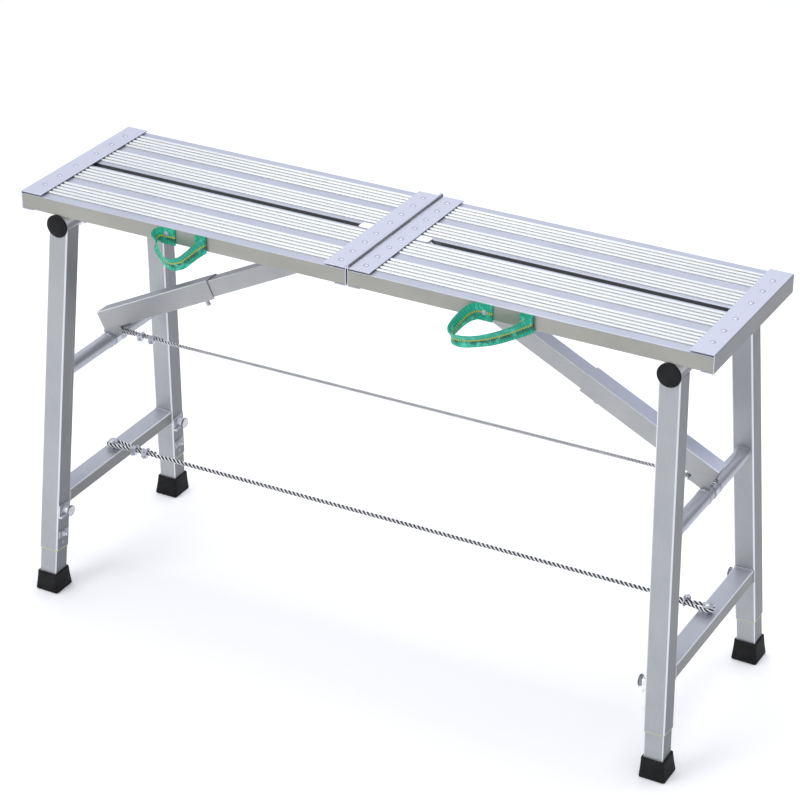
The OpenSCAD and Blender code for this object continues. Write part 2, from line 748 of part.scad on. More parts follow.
function strap_ring(line, i) =
  let (n = len(line) - 1,
       along = unit(line[min(i + 1, n)] - line[max(i - 1, 0)]),
       lean = strap_lean(line[i]),
       upright = [0, -sin(lean), cos(lean)],
       wide = unit(upright - (upright * along) * along) * strap_width / 2,
       thick = unit(cross(along, wide)) * strap_thick / 2,
       at = line[i])
  [at + wide + thick, at + wide - thick, at - wide - thick, at - wide + thick];

module strap(line) {
  color(webbing) skin([for (i = [0:len(line) - 1]) strap_ring(line, i)]);
}

// ---------- nodes ----------

plank(-1, -1);  // left_front_plank
plank(-1, 1);  // left_rear_plank
plank(1, -1);  // right_front_plank
plank(1, 1);  // right_rear_plank
end_channel(-1);  // left_end_channel
end_channel(1);  // right_end_channel
hinge_channel(-1);  // left_hinge_channel
hinge_channel(1);  // right_hinge_channel
hinge_pin();
deck_rivets(-1);  // left_deck_rivets
deck_rivets(1);  // right_deck_rivets
tube_saddles(-1);  // left_tube_saddles
tube_saddles(1);  // right_tube_saddles
brace_bracket(-1);  // left_brace_bracket
brace_bracket(1);  // right_brace_bracket
brace_pin(-1);  // left_brace_pin
brace_pin(1);  // right_brace_pin
pivot_tube(-1);  // left_pivot_tube
pivot_tube(1);  // right_pivot_tube
tube_caps(-1);  // left_tube_caps
tube_caps(1);  // right_tube_caps
leg(-1, -1);  // left_front_leg
leg(-1, 1);  // left_rear_leg
leg(1, -1);  // right_front_leg
leg(1, 1);  // right_rear_leg
cross_tube(-1);  // left_cross_tube
cross_tube(1);  // right_cross_tube
lower_rail(-1);  // left_lower_rail
lower_rail(1);  // right_lower_rail
lock_plates(-1);  // left_lock_plates
lock_plates(1);  // right_lock_plates
rope_bolt(-1);  // left_rope_bolt
rope_bolt(1);  // right_rope_bolt
upper_fittings(-1);  // left_upper_rope_fittings
upper_fittings(1);  // right_upper_rope_fittings
lower_clips(-1);  // left_lower_clips
lower_clips(1);  // right_lower_clips
extension(-1, -1);  // left_front_extension
extension(-1, 1);  // left_rear_extension
extension(1, -1);  // right_front_extension
extension(1, 1);  // right_rear_extension
foot(-1, -1);  // left_front_foot
foot(-1, 1);  // left_rear_foot
foot(1, -1);  // right_front_foot
foot(1, 1);  // right_rear_foot
pull_pin(-1, -1);  // left_front_pull_pin
pull_pin(-1, 1);  // left_rear_pull_pin
pull_pin(1, -1);  // right_front_pull_pin
pull_pin(1, 1);  // right_rear_pull_pin
brace_upper(-1);  // left_brace_upper
brace_upper(1);  // right_brace_upper
brace_lower(-1);  // left_brace_lower
brace_lower(1);  // right_brace_lower
brace_plunger(-1);  // left_brace_plunger
brace_plunger(1);  // right_brace_plunger
upper_rope();
lower_rope();
strap(left_strap_line);  // left_strap
strap(right_strap_line);  // right_strap
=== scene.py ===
"""Folding work platform bench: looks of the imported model. Metres, +Z up, front at -Y."""

import math

import bpy
import numpy as np
from mathutils import Matrix, Vector


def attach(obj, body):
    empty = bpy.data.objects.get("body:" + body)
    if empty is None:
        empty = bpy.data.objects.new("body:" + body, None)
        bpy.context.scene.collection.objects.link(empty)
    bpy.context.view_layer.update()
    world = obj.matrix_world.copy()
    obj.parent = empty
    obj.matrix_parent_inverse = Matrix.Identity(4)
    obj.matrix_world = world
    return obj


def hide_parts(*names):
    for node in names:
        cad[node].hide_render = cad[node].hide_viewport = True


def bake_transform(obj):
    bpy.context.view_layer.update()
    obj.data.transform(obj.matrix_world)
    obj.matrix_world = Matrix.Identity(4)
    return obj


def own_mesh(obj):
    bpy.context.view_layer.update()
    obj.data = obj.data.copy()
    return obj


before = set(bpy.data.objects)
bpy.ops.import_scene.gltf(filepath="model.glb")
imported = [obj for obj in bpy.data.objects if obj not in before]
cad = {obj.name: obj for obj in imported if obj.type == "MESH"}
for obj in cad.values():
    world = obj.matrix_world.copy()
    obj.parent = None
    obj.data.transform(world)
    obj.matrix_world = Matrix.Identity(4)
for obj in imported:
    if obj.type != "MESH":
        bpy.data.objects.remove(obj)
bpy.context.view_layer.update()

MM = 0.001
scene = bpy.context.scene
SIDES = (("left", -1), ("right", 1))
ROWS = (("front", -1), ("rear", 1))

# Dimensions shared with the CAD model, in millimetres and degrees.
PIVOT_X, PIVOT_Z = 519.2, 651.0
TILT, LEAN = 2.6, 4.68
LEG_TOP_Y, LEG_SIZE, LEG_LENGTH = 131.5, 34.5, 575.5
EXTENSION_SIZE = 31.8
CROSS_DROP, CROSS_R = 262.3, 12.5
RAIL_DROP, RAIL_W, RAIL_H = 486.0, 32.5, 23.0
BRACE_Y, ROPE_OFFSET = 2.0, 3.2
UPPER_ROPE_R, LOWER_ROPE_R = 2.8, 3.4
UPPER_POST_R, LOWER_POST_R = 3.5, 5.0      # stud and bolt that the rope eyes go round
LOWER_ROPE_Z = 186.0
RING_WALL, ROPE_PLAY = 1.2, 0.3

# Ropes as they are drawn.
STRAND_SHARE, HELIX_SHARE, CORE_SHARE = 0.48, 0.52, 0.3   # of the rope's radius
RUN_SCALE = 1.1                            # the free runs are drawn this much thicker than the CAD bars
ROPE_TAIL, RUN_START = 16, 18              # tail past the last clip, and where the free run begins


# ---------------------------------------------------------------- camera, floor, light

def make_camera():
    azimuth, elevation, roll = (math.radians(v) for v in (28.496, 28.069, 0.225))
    back = Vector((math.sin(azimuth) * math.cos(elevation),
                   -math.cos(azimuth) * math.cos(elevation), math.sin(elevation)))
    level = (-back).cross(Vector((0, 0, 1))).normalized()
    upright = level.cross(-back)
    right = level * math.cos(roll) + upright * math.sin(roll)
    up = upright * math.cos(roll) - level * math.sin(roll)
    data = bpy.data.cameras.new("camera")
    data.lens, data.sensor_width = 120.65, 36.0
    data.clip_end = 50
    camera = bpy.data.objects.new("camera", data)
    camera.matrix_world = Matrix((right, up, back)).transposed().to_4x4()
    camera.location = (1.77506, -3.25298, 2.38340)
    scene.collection.objects.link(camera)
    scene.camera = camera


def area_light(name, place, target, size, watts, colour):
    data = bpy.data.lights.new(name, "AREA")
    data.shape, data.size, data.size_y = "RECTANGLE", size[0], size[1]
    data.energy, data.color = watts, colour
    lamp = bpy.data.objects.new(name, data)
    lamp.location = place
    lamp.rotation_euler = (Vector(target) - Vector(place)).to_track_quat("-Z", "Y").to_euler()
    scene.collection.objects.link(lamp)


def make_world():
    """Light from a pale sky that falls off toward +X; the camera sees a plain backdrop instead."""
    world = bpy.data.worlds.new("studio")
    world.use_nodes = True
    tree = world.node_tree
    tree.nodes.clear()
    out = tree.nodes.new("ShaderNodeOutputWorld")
    back = tree.nodes.new("ShaderNodeBackground")
    coord = tree.nodes.new("ShaderNodeTexCoord")
    split = tree.nodes.new("ShaderNodeSeparateXYZ")
    ramp = tree.nodes.new("ShaderNodeValToRGB")
    tree.links.new(coord.outputs["Generated"], split.inputs[0])
    tree.links.new(split.outputs["Z"], ramp.inputs[0])
    tree.links.new(ramp.outputs[0], back.inputs["Color"])
    backdrop = tree.nodes.new("ShaderNodeBackground")
    backdrop.inputs["Color"].default_value = (0.96, 0.965, 0.98, 1)
    path = tree.nodes.new("ShaderNodeLightPath")
    choose = tree.nodes.new("ShaderNodeMixShader")
    tree.links.new(path.outputs["Is Camera Ray"], choose.inputs["Fac"])
    tree.links.new(back.outputs[0], choose.inputs[1])
    tree.links.new(backdrop.outputs[0], choose.inputs[2])
    tree.links.new(choose.outputs[0], out.inputs["Surface"])
    stops = ramp.color_ramp.elements
    stops[0].position, stops[0].color = 0.0, (0.36, 0.37, 0.39, 1)
    stops[1].position, stops[1].color = 1.0, (0.93, 0.95, 1.0, 1)
    middle = stops.new(0.36)
    middle.color = (0.86, 0.88, 0.97, 1)
    shade = tree.nodes.new("ShaderNodeMapRange")
    tree.links.new(split.outputs["X"], shade.inputs["Value"])
    fall_off = {"From Min": 0.05, "From Max": 0.75, "To Min": 1.0, "To Max": 0.42}
    for key, number in fall_off.items():
        shade.inputs[key].default_value = number
    tree.links.new(shade.outputs[0], back.inputs["Strength"])
    scene.world = world


# ---------------------------------------------------------------- materials

class Shader:
    """A Principled material with short helpers for its node tree."""

    def __init__(self, name):
        self.material = bpy.data.materials.new(name)
        self.material.use_nodes = True
        self.tree = self.material.node_tree
        self.tree.nodes.clear()
        out = self.node("ShaderNodeOutputMaterial")
        self.bsdf = self.node("ShaderNodeBsdfPrincipled")
        self.link(self.bsdf.outputs[0], out.inputs["Surface"])
        self.coord = self.node("ShaderNodeTexCoord")
        self.place = self.coord.outputs["Object"]

    def node(self, kind):
        return self.tree.nodes.new(kind)

    def link(self, source, target):
        self.tree.links.new(source, target)

    def feed(self, value, socket):
        if hasattr(value, "is_output"):
            self.link(value, socket)
        elif hasattr(value, "__len__"):
            socket.default_value = (*value, 1.0) if len(value) == 3 and socket.type == "RGBA" else value
        else:
            socket.default_value = value

    def noise(self, scale, detail=3.0, rough=0.55):
        mapping = self.node("ShaderNodeMapping")
        mapping.inputs["Scale"].default_value = scale
        self.link(self.place, mapping.inputs["Vector"])
        texture = self.node("ShaderNodeTexNoise")
        texture.inputs["Scale"].default_value = 1.0
        texture.inputs["Detail"].default_value = detail
        texture.inputs["Roughness"].default_value = rough
        self.link(mapping.outputs[0], texture.inputs["Vector"])
        return texture.outputs["Fac"]

    def span(self, value, low, high, to_low=0.0, to_high=1.0):
        node = self.node("ShaderNodeMapRange")
        node.clamp = True
        self.feed(value, node.inputs["Value"])
        for key, number in (("From Min", low), ("From Max", high), ("To Min", to_low), ("To Max", to_high)):
            self.feed(number, node.inputs[key])
        return node.outputs[0]

    def math(self, operation, a, b=0.0):
        node = self.node("ShaderNodeMath")
        node.operation = operation
        self.feed(a, node.inputs[0])
        self.feed(b, node.inputs[1])
        return node.outputs[0]

    def mix(self, factor, a, b):
        node = self.node("ShaderNodeMix")
        node.data_type = "RGBA"
        self.feed(factor, node.inputs["Factor"])
        self.feed(a, node.inputs["A"])
        self.feed(b, node.inputs["B"])
        return node.outputs["Result"]

    def axes(self, vector):
        node = self.node("ShaderNodeSeparateXYZ")
        self.link(vector, node.inputs[0])
        return node.outputs

    def bump(self, height, distance, strength=1.0, normal=None):
        node = self.node("ShaderNodeBump")
        node.inputs["Distance"].default_value = distance
        node.inputs["Strength"].default_value = strength
        self.feed(height, node.inputs["Height"])
        if normal is not None:
            self.link(normal, node.inputs["Normal"])
        self.link(node.outputs[0], self.bsdf.inputs["Normal"])

    def round_edges(self, radius):
        node = self.node("ShaderNodeBevel")
        node.samples = 4
        node.inputs["Radius"].default_value = radius
        return node.outputs[0]

    def edge_mask(self, rounded):
        """1 along sharp edges, from how far the rounded normal turns."""
        geometry = self.node("ShaderNodeNewGeometry")
        node = self.node("ShaderNodeVectorMath")
        node.operation = "DOT_PRODUCT"
        self.link(rounded, node.inputs[0])
        self.link(geometry.outputs["Normal"], node.inputs[1])
        return self.span(node.outputs["Value"], 0.995, 0.90)


def metal(name, base, shade, metallic, rough, grain, corner=None, edge=0.0005, relief=0.00002,
          edge_highlight_colour=None, painted_side_shade=None, painted_top_light_shade=None, round_part=None):
    """Satin metal: long grain lines, soft smudges, and painted highlights along edges and round corners.

    The side colour is painted shade on faces that look along X, the top colours painted light and shade
    on faces that look up (by their slope along X), and round_part tints the ones that do neither.
    """
    s = Shader(name)
    lines = s.noise(grain, 2.0, 0.6)
    smudge = s.noise((14, 14, 14), 4.0)
    tone = s.math("ADD", s.math("MULTIPLY", s.span(lines, 0.3, 0.7), 0.5),
                  s.math("MULTIPLY", s.span(smudge, 0.35, 0.7), 0.5))
    colour = s.mix(tone, base, shade)
    n = s.axes(s.coord.outputs["Normal"])
    if round_part:
        colour = s.mix(s.span(s.math("ABSOLUTE", n[0]), 0.75, 0.35), colour, round_part)
    if painted_top_light_shade:
        # painted light on a web that slopes toward +X, painted shade on one that slopes the other way
        lit = s.mix(s.span(n[0], -0.3, 0.3), painted_top_light_shade[0], painted_top_light_shade[1])
        colour = s.mix(s.span(n[2], 0.45, 0.8), colour, lit)
    # painted shade on the faces that look along X
    if painted_side_shade:
        colour = s.mix(s.span(s.math("ABSOLUTE", n[0]), 0.3, 0.85), colour, painted_side_shade)
    # painted highlight: a bright band along every sharp edge, where the rounded normal turns
    rounded = s.round_edges(edge)
    painted_edge_highlight = s.edge_mask(rounded)
    bright = edge_highlight_colour or tuple(min(1.0, c * 1.45 + 0.08) for c in base)
    # painted highlight along the round corners of tubes, where the normal lies between two axes
    if corner:
        first, second = (s.math("ABSOLUTE", n[k]) for k in corner)
        painted_corner_highlight = s.span(s.math("MINIMUM", first, second), 0.16, 0.42)
        painted_edge_highlight = s.math("MAXIMUM", painted_edge_highlight, painted_corner_highlight)
    colour = s.mix(s.math("MULTIPLY", painted_edge_highlight, 0.85), colour, bright)
    s.link(colour, s.bsdf.inputs["Base Color"])
    s.bsdf.inputs["Metallic"].default_value = metallic
    s.link(s.span(tone, 0.0, 1.0, rough - 0.05, rough + 0.08), s.bsdf.inputs["Roughness"])
    s.bump(lines, relief, 0.5, rounded)
    return s.material


def deck_metal():
    """Extruded plank: painted sky reflection makes the top lavender and the sides and underside greyer; painted
    highlights on rib tops and edges, painted shade in grooves and gap walls.
    """
    s = Shader("deck_extrusion")
    lines = s.noise((3, 700, 500), 2.0, 0.6)
    smudge = s.noise((9, 16, 16), 4.0)
    _, y, height = s.axes(s.place)
    up = s.axes(s.coord.outputs["Normal"])[2]
    # faces that look up get the lavender of a painted sky reflection, the sides and underside a greyer tone
    facing_up = s.span(up, 0.3, 0.85)
    flats = s.mix(s.span(smudge, 0.35, 0.7), (0.485, 0.51, 0.585), (0.44, 0.465, 0.535))
    side = s.mix(s.span(smudge, 0.35, 0.7), (0.375, 0.37, 0.33), (0.33, 0.325, 0.29))
    # painted highlight on the rib tops
    rib_top_highlight = s.math("MULTIPLY", s.span(height, 0.6951, 0.6961), facing_up)
    across = s.math("ABSOLUTE", y)
    # painted shade: a greyer tone over the rib groups, left showing on the groove floors between the ribs
    rib_group_middles, rib_group_half = (0.0382, 0.1078), (0.0232, 0.0222)
    groove_shade = s.math("MAXIMUM", *(s.span(s.math("ABSOLUTE", s.math("SUBTRACT", across, middle)), *rib_group_half)
                                 for middle in rib_group_middles))
    flats = s.mix(groove_shade, flats, (0.60, 0.61, 0.63))
    # painted shade: near-black on the plank walls that face the gap between the planks
    gap_shade = s.span(across, 0.0075, 0.0065)
    side = s.mix(gap_shade, side, (0.15, 0.152, 0.155))
    colour = s.mix(facing_up, side, flats)
    colour = s.mix(rib_top_highlight, colour, (0.76, 0.79, 0.81))
    rounded = s.round_edges(0.0004)
    # painted highlight along the sharp edges
    colour = s.mix(s.math("MULTIPLY", s.edge_mask(rounded), 0.55), colour, (0.86, 0.88, 0.97))
    colour = s.mix(s.math("MULTIPLY", s.span(lines, 0.3, 0.7), 0.12), colour, (0.30, 0.31, 0.36))
    s.link(colour, s.bsdf.inputs["Base Color"])
    s.bsdf.inputs["Metallic"].default_value = 0.45
    s.link(s.span(lines, 0.3, 0.7, 0.30, 0.42), s.bsdf.inputs["Roughness"])
    s.bump(lines, 0.00002, 0.5, rounded)
    return s.material


def dark_polymer(name, base, rough, grain):
    s = Shader(name)
    speckle = s.noise((grain,) * 3, 5.0, 0.7)
    broad = s.noise((40, 40, 40), 3.0)
    colour = s.mix(s.span(broad, 0.3, 0.7), base, tuple(c * 1.7 + 0.004 for c in base))
    s.link(colour, s.bsdf.inputs["Base Color"])
    s.link(s.span(speckle, 0.3, 0.7, rough - 0.08, rough + 0.1), s.bsdf.inputs["Roughness"])
    s.bsdf.inputs["Specular IOR Level"].default_value = 0.12
    s.bump(speckle, 0.00012, 0.5, s.round_edges(0.0006))
    return s.material


def rope_metal(name, base, shadow):
    """Bright strands with painted shadow in the gaps between them; shadow is the span of outward facing over
    which that painted shadow ends.
    """
    s = Shader(name)
    fine = s.noise((900, 900, 900), 2.0)
    dull = s.noise((60, 60, 60), 3.0)
    colour = s.mix(s.span(dull, 0.35, 0.7), base, tuple(c * 0.8 for c in base))
    lay = s.node("ShaderNodeUVMap")
    lay.uv_map = "band"
    # painted shadow, near black, where the strands face away from the outside of the rope
    colour = s.mix(s.span(s.axes(lay.outputs[0])[0], *shadow), (0.022, 0.024, 0.028), colour)
    s.link(colour, s.bsdf.inputs["Base Color"])
    s.bsdf.inputs["Metallic"].default_value = 0.15
    s.link(s.span(fine, 0.3, 0.7, 0.34, 0.5), s.bsdf.inputs["Roughness"])
    s.bump(fine, 0.00005, 0.6)
    return s.material


def webbing():
    """Green webbing with a yellow middle stripe; UV is metres along and across the band."""
    s = Shader("webbing_green")
    uv = s.node("ShaderNodeUVMap")
    uv.uv_map = "band"
    u, v, _ = s.axes(uv.outputs[0])
    across = s.math("ABSOLUTE", v)
    weft_pitch, twill_pitch, warp_pitch, rib_pitch, bead_pitch = 0.0021, 0.0030, 0.0012, 0.0042, 0.0034

    def phase(value, pitch):
        return s.math("MULTIPLY", value, 2 * math.pi / pitch)

    weft = s.math("SINE", phase(u, weft_pitch))
    twill = s.math("SINE", s.math("ADD", phase(u, weft_pitch), phase(across, twill_pitch)))
    warp = s.math("SINE", phase(v, warp_pitch))
    crossing = s.math("MULTIPLY", s.math("MULTIPLY", weft, warp), 0.4)
    weave = s.math("ADD", s.math("MULTIPLY", twill, 0.6), crossing)
    fuzz = s.noise((1200, 1200, 1200), 2.0)
    green = s.mix(s.span(weave, -0.9, 0.9), (0.0, 0.20, 0.105), (0.0, 0.60, 0.37))
    green = s.mix(s.math("MULTIPLY", s.span(fuzz, 0.35, 0.7), 0.35), green, (0.02, 0.80, 0.54))
    rib = s.span(s.math("SINE", phase(u, rib_pitch)), -0.6, 0.9)
    green = s.mix(s.math("MULTIPLY", rib, 0.45), green, (0.0, 0.16, 0.10))
    # painted shadow along the lower half of the band, just below the crease
    crease_shadow = s.math("MULTIPLY", s.span(v, -0.0095, -0.004), s.span(v, 0.0, -0.002))
    crease_shadow = s.math("MULTIPLY", crease_shadow, s.span(s.noise((45, 45, 45), 1.0), 0.35, 0.55, 0.35, 1.0))
    green = s.mix(s.math("MULTIPLY", crease_shadow, 0.85), green, (0.0, 0.055, 0.03))
    blotch = s.span(s.noise((110, 110, 110), 3.0), 0.52, 0.68)
    green = s.mix(s.math("MULTIPLY", blotch, 0.55), green, (0.10, 0.90, 0.66))
    beads = s.math("SINE", phase(u, bead_pitch))
    yellow = s.mix(s.span(beads, -0.7, 0.5), (0.10, 0.26, 0.04), (0.66, 0.53, 0.06))
    wobble = s.math("MULTIPLY", s.noise((160, 160, 160), 2.0), 0.0008)
    stripe = s.span(s.math("ADD", across, wobble), 0.0021, 0.0016)
    colour = s.mix(stripe, green, yellow)
    selvage = s.span(across, 0.0118, 0.0128)
    colour = s.mix(s.math("MULTIPLY", selvage, 0.5), colour, (0.0, 0.22, 0.11))
    s.link(colour, s.bsdf.inputs["Base Color"])
    s.link(s.span(fuzz, 0.3, 0.7, 0.42, 0.62), s.bsdf.inputs["Roughness"])
    s.bsdf.inputs["Sheen Weight"].default_value = 0.35
    s.bsdf.inputs["Sheen Roughness"].default_value = 0.4
    s.bsdf.inputs["Sheen Tint"].default_value = (0.4, 1.0, 0.75, 1)
    s.bump(s.math("ADD", weave, s.math("MULTIPLY", fuzz, 0.5)), 0.00022, 0.8)
    return s.material


def bush_plastic():
    s = Shader("guide_plastic")
    grain = s.noise((500, 500, 500), 3.0)
    s.link(s.mix(s.span(grain, 0.3, 0.7), (0.55, 0.66, 0.26), (0.44, 0.54, 0.20)), s.bsdf.inputs["Base Color"])
    s.bsdf.inputs["Roughness"].default_value = 0.45
    s.bump(grain, 0.00003, 0.4)
    return s.material


def pale_floor():
    s = Shader("studio_floor")
    mottle = s.noise((2, 2, 2), 3.0)
    s.link(s.mix(mottle, (0.95, 0.95, 0.95), (0.97, 0.97, 0.97)), s.bsdf.inputs["Base Color"])
    s.bsdf.inputs["Emission Color"].default_value = (1.0, 1.0, 1.0, 1)
    s.bsdf.inputs["Emission Strength"].default_value = 0.12
    s.bsdf.inputs["Roughness"].default_value = 0.9
    s.bsdf.inputs["Specular IOR Level"].default_value = 0.1
    return s.material


# ---------------------------------------------------------------- mesh helpers

def mesh_piece(name, points, faces, material, body, uv=None, smooth=True, flat_above=None):
    """Makes a piece from points in millimetres, in the row frame."""
    data = bpy.data.meshes.new(name)
    data.from_pydata([tuple(c * MM for c in p) for p in points], [], faces)
    data.materials.append(material)
    if uv is not None:
        layer = data.uv_layers.new(name="band")
        for loop in data.loops:
            layer.data[loop.index].uv = uv[loop.vertex_index]
    for polygon in data.polygons:
        polygon.use_smooth = smooth
    if flat_above is not None:
        data.set_sharp_from_angle(angle=math.radians(flat_above))
    data.validate()
    piece = bpy.data.objects.new(name, data)
    scene.collection.objects.link(piece)
    if body:
        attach(piece, body)
    return piece


def loft(rings, close=True, start=0):
    """Faces between equal rings of points, with the ends closed."""
    count, size = len(rings), len(rings[0])
    faces = []
    for i in range(count - 1):
        for k in range(size):
            a, b = start + i * size + k, start + i * size + (k + 1) % size
            faces.append((a, b, b + size, a + size))
    if close:
        faces.append(tuple(start + k for k in reversed(range(size))))
        faces.append(tuple(start + (count - 1) * size + k for k in range(size)))
    return faces


def rounded_rectangle(half_x, half_y, radius, steps=5):
    ring = []
    for cx, cy, first in ((1, 1, 0), (-1, 1, 90), (-1, -1, 180), (1, -1, 270)):
        for i in range(steps + 1):
            angle = math.radians(first + 90 * i / steps)
            ring.append((cx * (half_x - radius) + radius * math.cos(angle),
                         cy * (half_y - radius) + radius * math.sin(angle)))
    return ring


def leg_matrix(side, row):
    """Leg coordinates to the row frame, in millimetres."""
    matrix = (Matrix.Translation((PIVOT_X, 0, PIVOT_Z)) @ Matrix.Rotation(math.radians(-TILT), 4, "Y")
              @ Matrix.Translation((0, row * LEG_TOP_Y, 0)) @ Matrix.Rotation(math.radians(row * LEAN), 4, "X"))
    return Matrix.Diagonal((side, 1, 1, 1)) @ matrix


def frame_matrix(side):
    matrix = Matrix.Translation((PIVOT_X, 0, PIVOT_Z)) @ Matrix.Rotation(math.radians(-TILT), 4, "Y")
    return Matrix.Diagonal((side, 1, 1, 1)) @ matrix


# ---------------------------------------------------------------- ropes

def eye_route(post_r, rope_r, clips, tail):
    """Tail, eye round a post at the origin, and the strand that runs on, in the rope's plane."""
    eye_r = post_r + 0.3 + rope_r
    half_pitch = rope_r + 0.15
    near = clips[0] - 8
    touch = math.atan2(half_pitch, near) + math.acos(eye_r / math.hypot(near, half_pitch))
    turn = [touch + i * (2 * math.pi - 2 * touch) / 40 for i in range(41)]
    return ([(clips[-1] + tail, half_pitch), (near, half_pitch)]
            + [(eye_r * math.cos(a), eye_r * math.sin(a)) for a in turn]
            + [(near, -half_pitch), (near + 30, -half_pitch)])


def resample(points, step):
    points = np.array(points, float)
    along = np.concatenate([[0], np.cumsum(np.linalg.norm(np.diff(points, axis=0), axis=1))])
    count = max(2, int(round(along[-1] / step)) + 1)
    marks = np.linspace(0, along[-1], count)
    return np.stack([np.interp(marks, along, points[:, k]) for k in range(points.shape[1])], axis=1)


def soften(points, passes):
    for _ in range(passes):
        points[1:-1] = 0.5 * points[1:-1] + 0.25 * (points[:-2] + points[2:])
    return points


def wire_rope(name, route, arc, rope_r, lay, material, body, first, last, strands=3, sides=12):
    """Strands laid round a core along part of a level route; arc is the length up to each point.

    The UV says how far a point faces out of the rope: 1 on a strand's outer line, 0 on the core.
    """
    tangent = np.gradient(route, axis=0)
    tangent /= np.linalg.norm(tangent, axis=1)[:, None]
    across = np.stack([-tangent[:, 1], tangent[:, 0], 0 * tangent[:, 0]], axis=1)
    up = np.array([0.0, 0.0, 1.0])
    points, faces, uv = [], [], []
    strand_r, helix_r = rope_r * STRAND_SHARE, rope_r * HELIX_SHARE
    for strand in range(strands + 1):
        rings = []
        for i in range(first, last + 1):
            if strand < strands:
                turn = 2 * math.pi * (arc[i] / lay + strand / strands)
                centre = route[i] + helix_r * (math.cos(turn) * across[i] + math.sin(turn) * up)
                radius = strand_r
            else:
                turn, centre, radius = 0.0, route[i], rope_r * CORE_SHARE
            rings.append([tuple(centre + radius * (math.cos(turn + 2 * math.pi * k / sides) * across[i]
                                                   + math.sin(turn + 2 * math.pi * k / sides) * up))
                          for k in range(sides)])
        faces += loft(rings, start=len(points))
        points += [p for ring in rings for p in ring]
        out = 1.0 if strand < strands else 0.0
        uv += [(out * math.cos(2 * math.pi * k / sides), 0.0) for _ in rings for k in range(sides)]
    return mesh_piece(name, points, faces, material, body, uv=uv)


def make_rope(label, post_x, z, post_r, rope_r, clips, lay, material):
    """One rope as four pieces: an end at each post, and two halves of the span between them."""
    halves = {}
    for word, side in SIDES:
        post_y = BRACE_Y + side * ROPE_OFFSET
        flip = -side
        halves[word] = [(side * post_x + flip * x, post_y + flip * y, z)
                        for x, y in eye_route(post_r, rope_r, clips[word], ROPE_TAIL)]
    route = soften(resample(halves["left"] + halves["right"][::-1], 1.4), 5)
    arc = np.concatenate([[0], np.cumsum(np.linalg.norm(np.diff(route, axis=0), axis=1))])
    middle = len(route) // 2
    cut_left = post_x - clips["left"][-1] - RUN_START
    cut_right = post_x - clips["right"][-1] - RUN_START
    first = next(i for i in range(len(route) // 8, middle) if route[i][0] > -cut_left)
    last = next(i for i in range(len(route) - len(route) // 8, middle, -1) if route[i][0] < cut_right)
    assert 0 < first < middle < last < len(route) - 1
    ends = {"left": (0, first), "right": (last, len(route) - 1)}
    spans = {"left": (first, middle), "right": (middle, last)}
    for word, side in SIDES:
        swing = f"{word}_{label}_rope_end"
        end = wire_rope(f"{word}_{label}_rope_eye", route, arc, rope_r, lay, material,
                        None if label == "lower" else swing, *ends[word])
        if label == "lower":
            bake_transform(end)
        half = wire_rope(f"{word}_{label}_rope_run", route, arc, RUN_SCALE * rope_r, lay, material,
                         swing, *spans[word])
        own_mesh(half)
        if word == "left":
            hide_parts(f"{label}_rope")


# ---------------------------------------------------------------- straps

STRAP_LINES = {
    "left": [
        (-299, -151.4, 680), (-314, -151.4, 680), (-323, -151.6, 680), (-328, -153.5, 678),
        (-331, -157, 675), (-329, -162, 669), (-320, -169, 662), (-307, -177, 655),
        (-291, -182, 651), (-273, -180, 656), (-262, -173, 665), (-254, -165, 673),
        (-247, -157.5, 679), (-244, -154, 680.5), (-247, -151.8, 680.5), (-253, -151.4, 680),
        (-263, -151.4, 680)],
    "right": [
        (242, -151.4, 680), (228, -151.4, 680), (217, -152.8, 680), (207, -157.5, 675),
        (199, -163.5, 667), (192, -171, 657), (189, -179, 649), (194, -186, 645.5),
        (210, -189.5, 646.5), (230, -189, 650.5), (252, -185.5, 657), (273, -178.5, 665),
        (290, -168, 672), (302, -158.5, 678), (307, -154.5, 680.5), (303, -152.2, 680.5),
        (298, -151.5, 680), (286, -151.4, 680)],
}
STRAP_WIDTH, STRAP_THICK = 27.0, 2.2


def spline(points, per_leg=10):
    """Catmull-Rom curve through the points."""
    p = [np.array(q, float) for q in points]
    p = [2 * p[0] - p[1]] + p + [2 * p[-1] - p[-2]]
    line = []
    for i in range(1, len(p) - 2):
        for j in range(per_leg):
            t = j / per_leg
            line.append(0.5 * (2 * p[i] + (p[i + 1] - p[i - 1]) * t
                               + (2 * p[i - 1] - 5 * p[i] + 4 * p[i + 1] - p[i + 2]) * t * t
                               + (3 * p[i] - p[i - 1] - 3 * p[i + 1] + p[i + 2]) * t ** 3))
    line.append(p[-2])
    return line


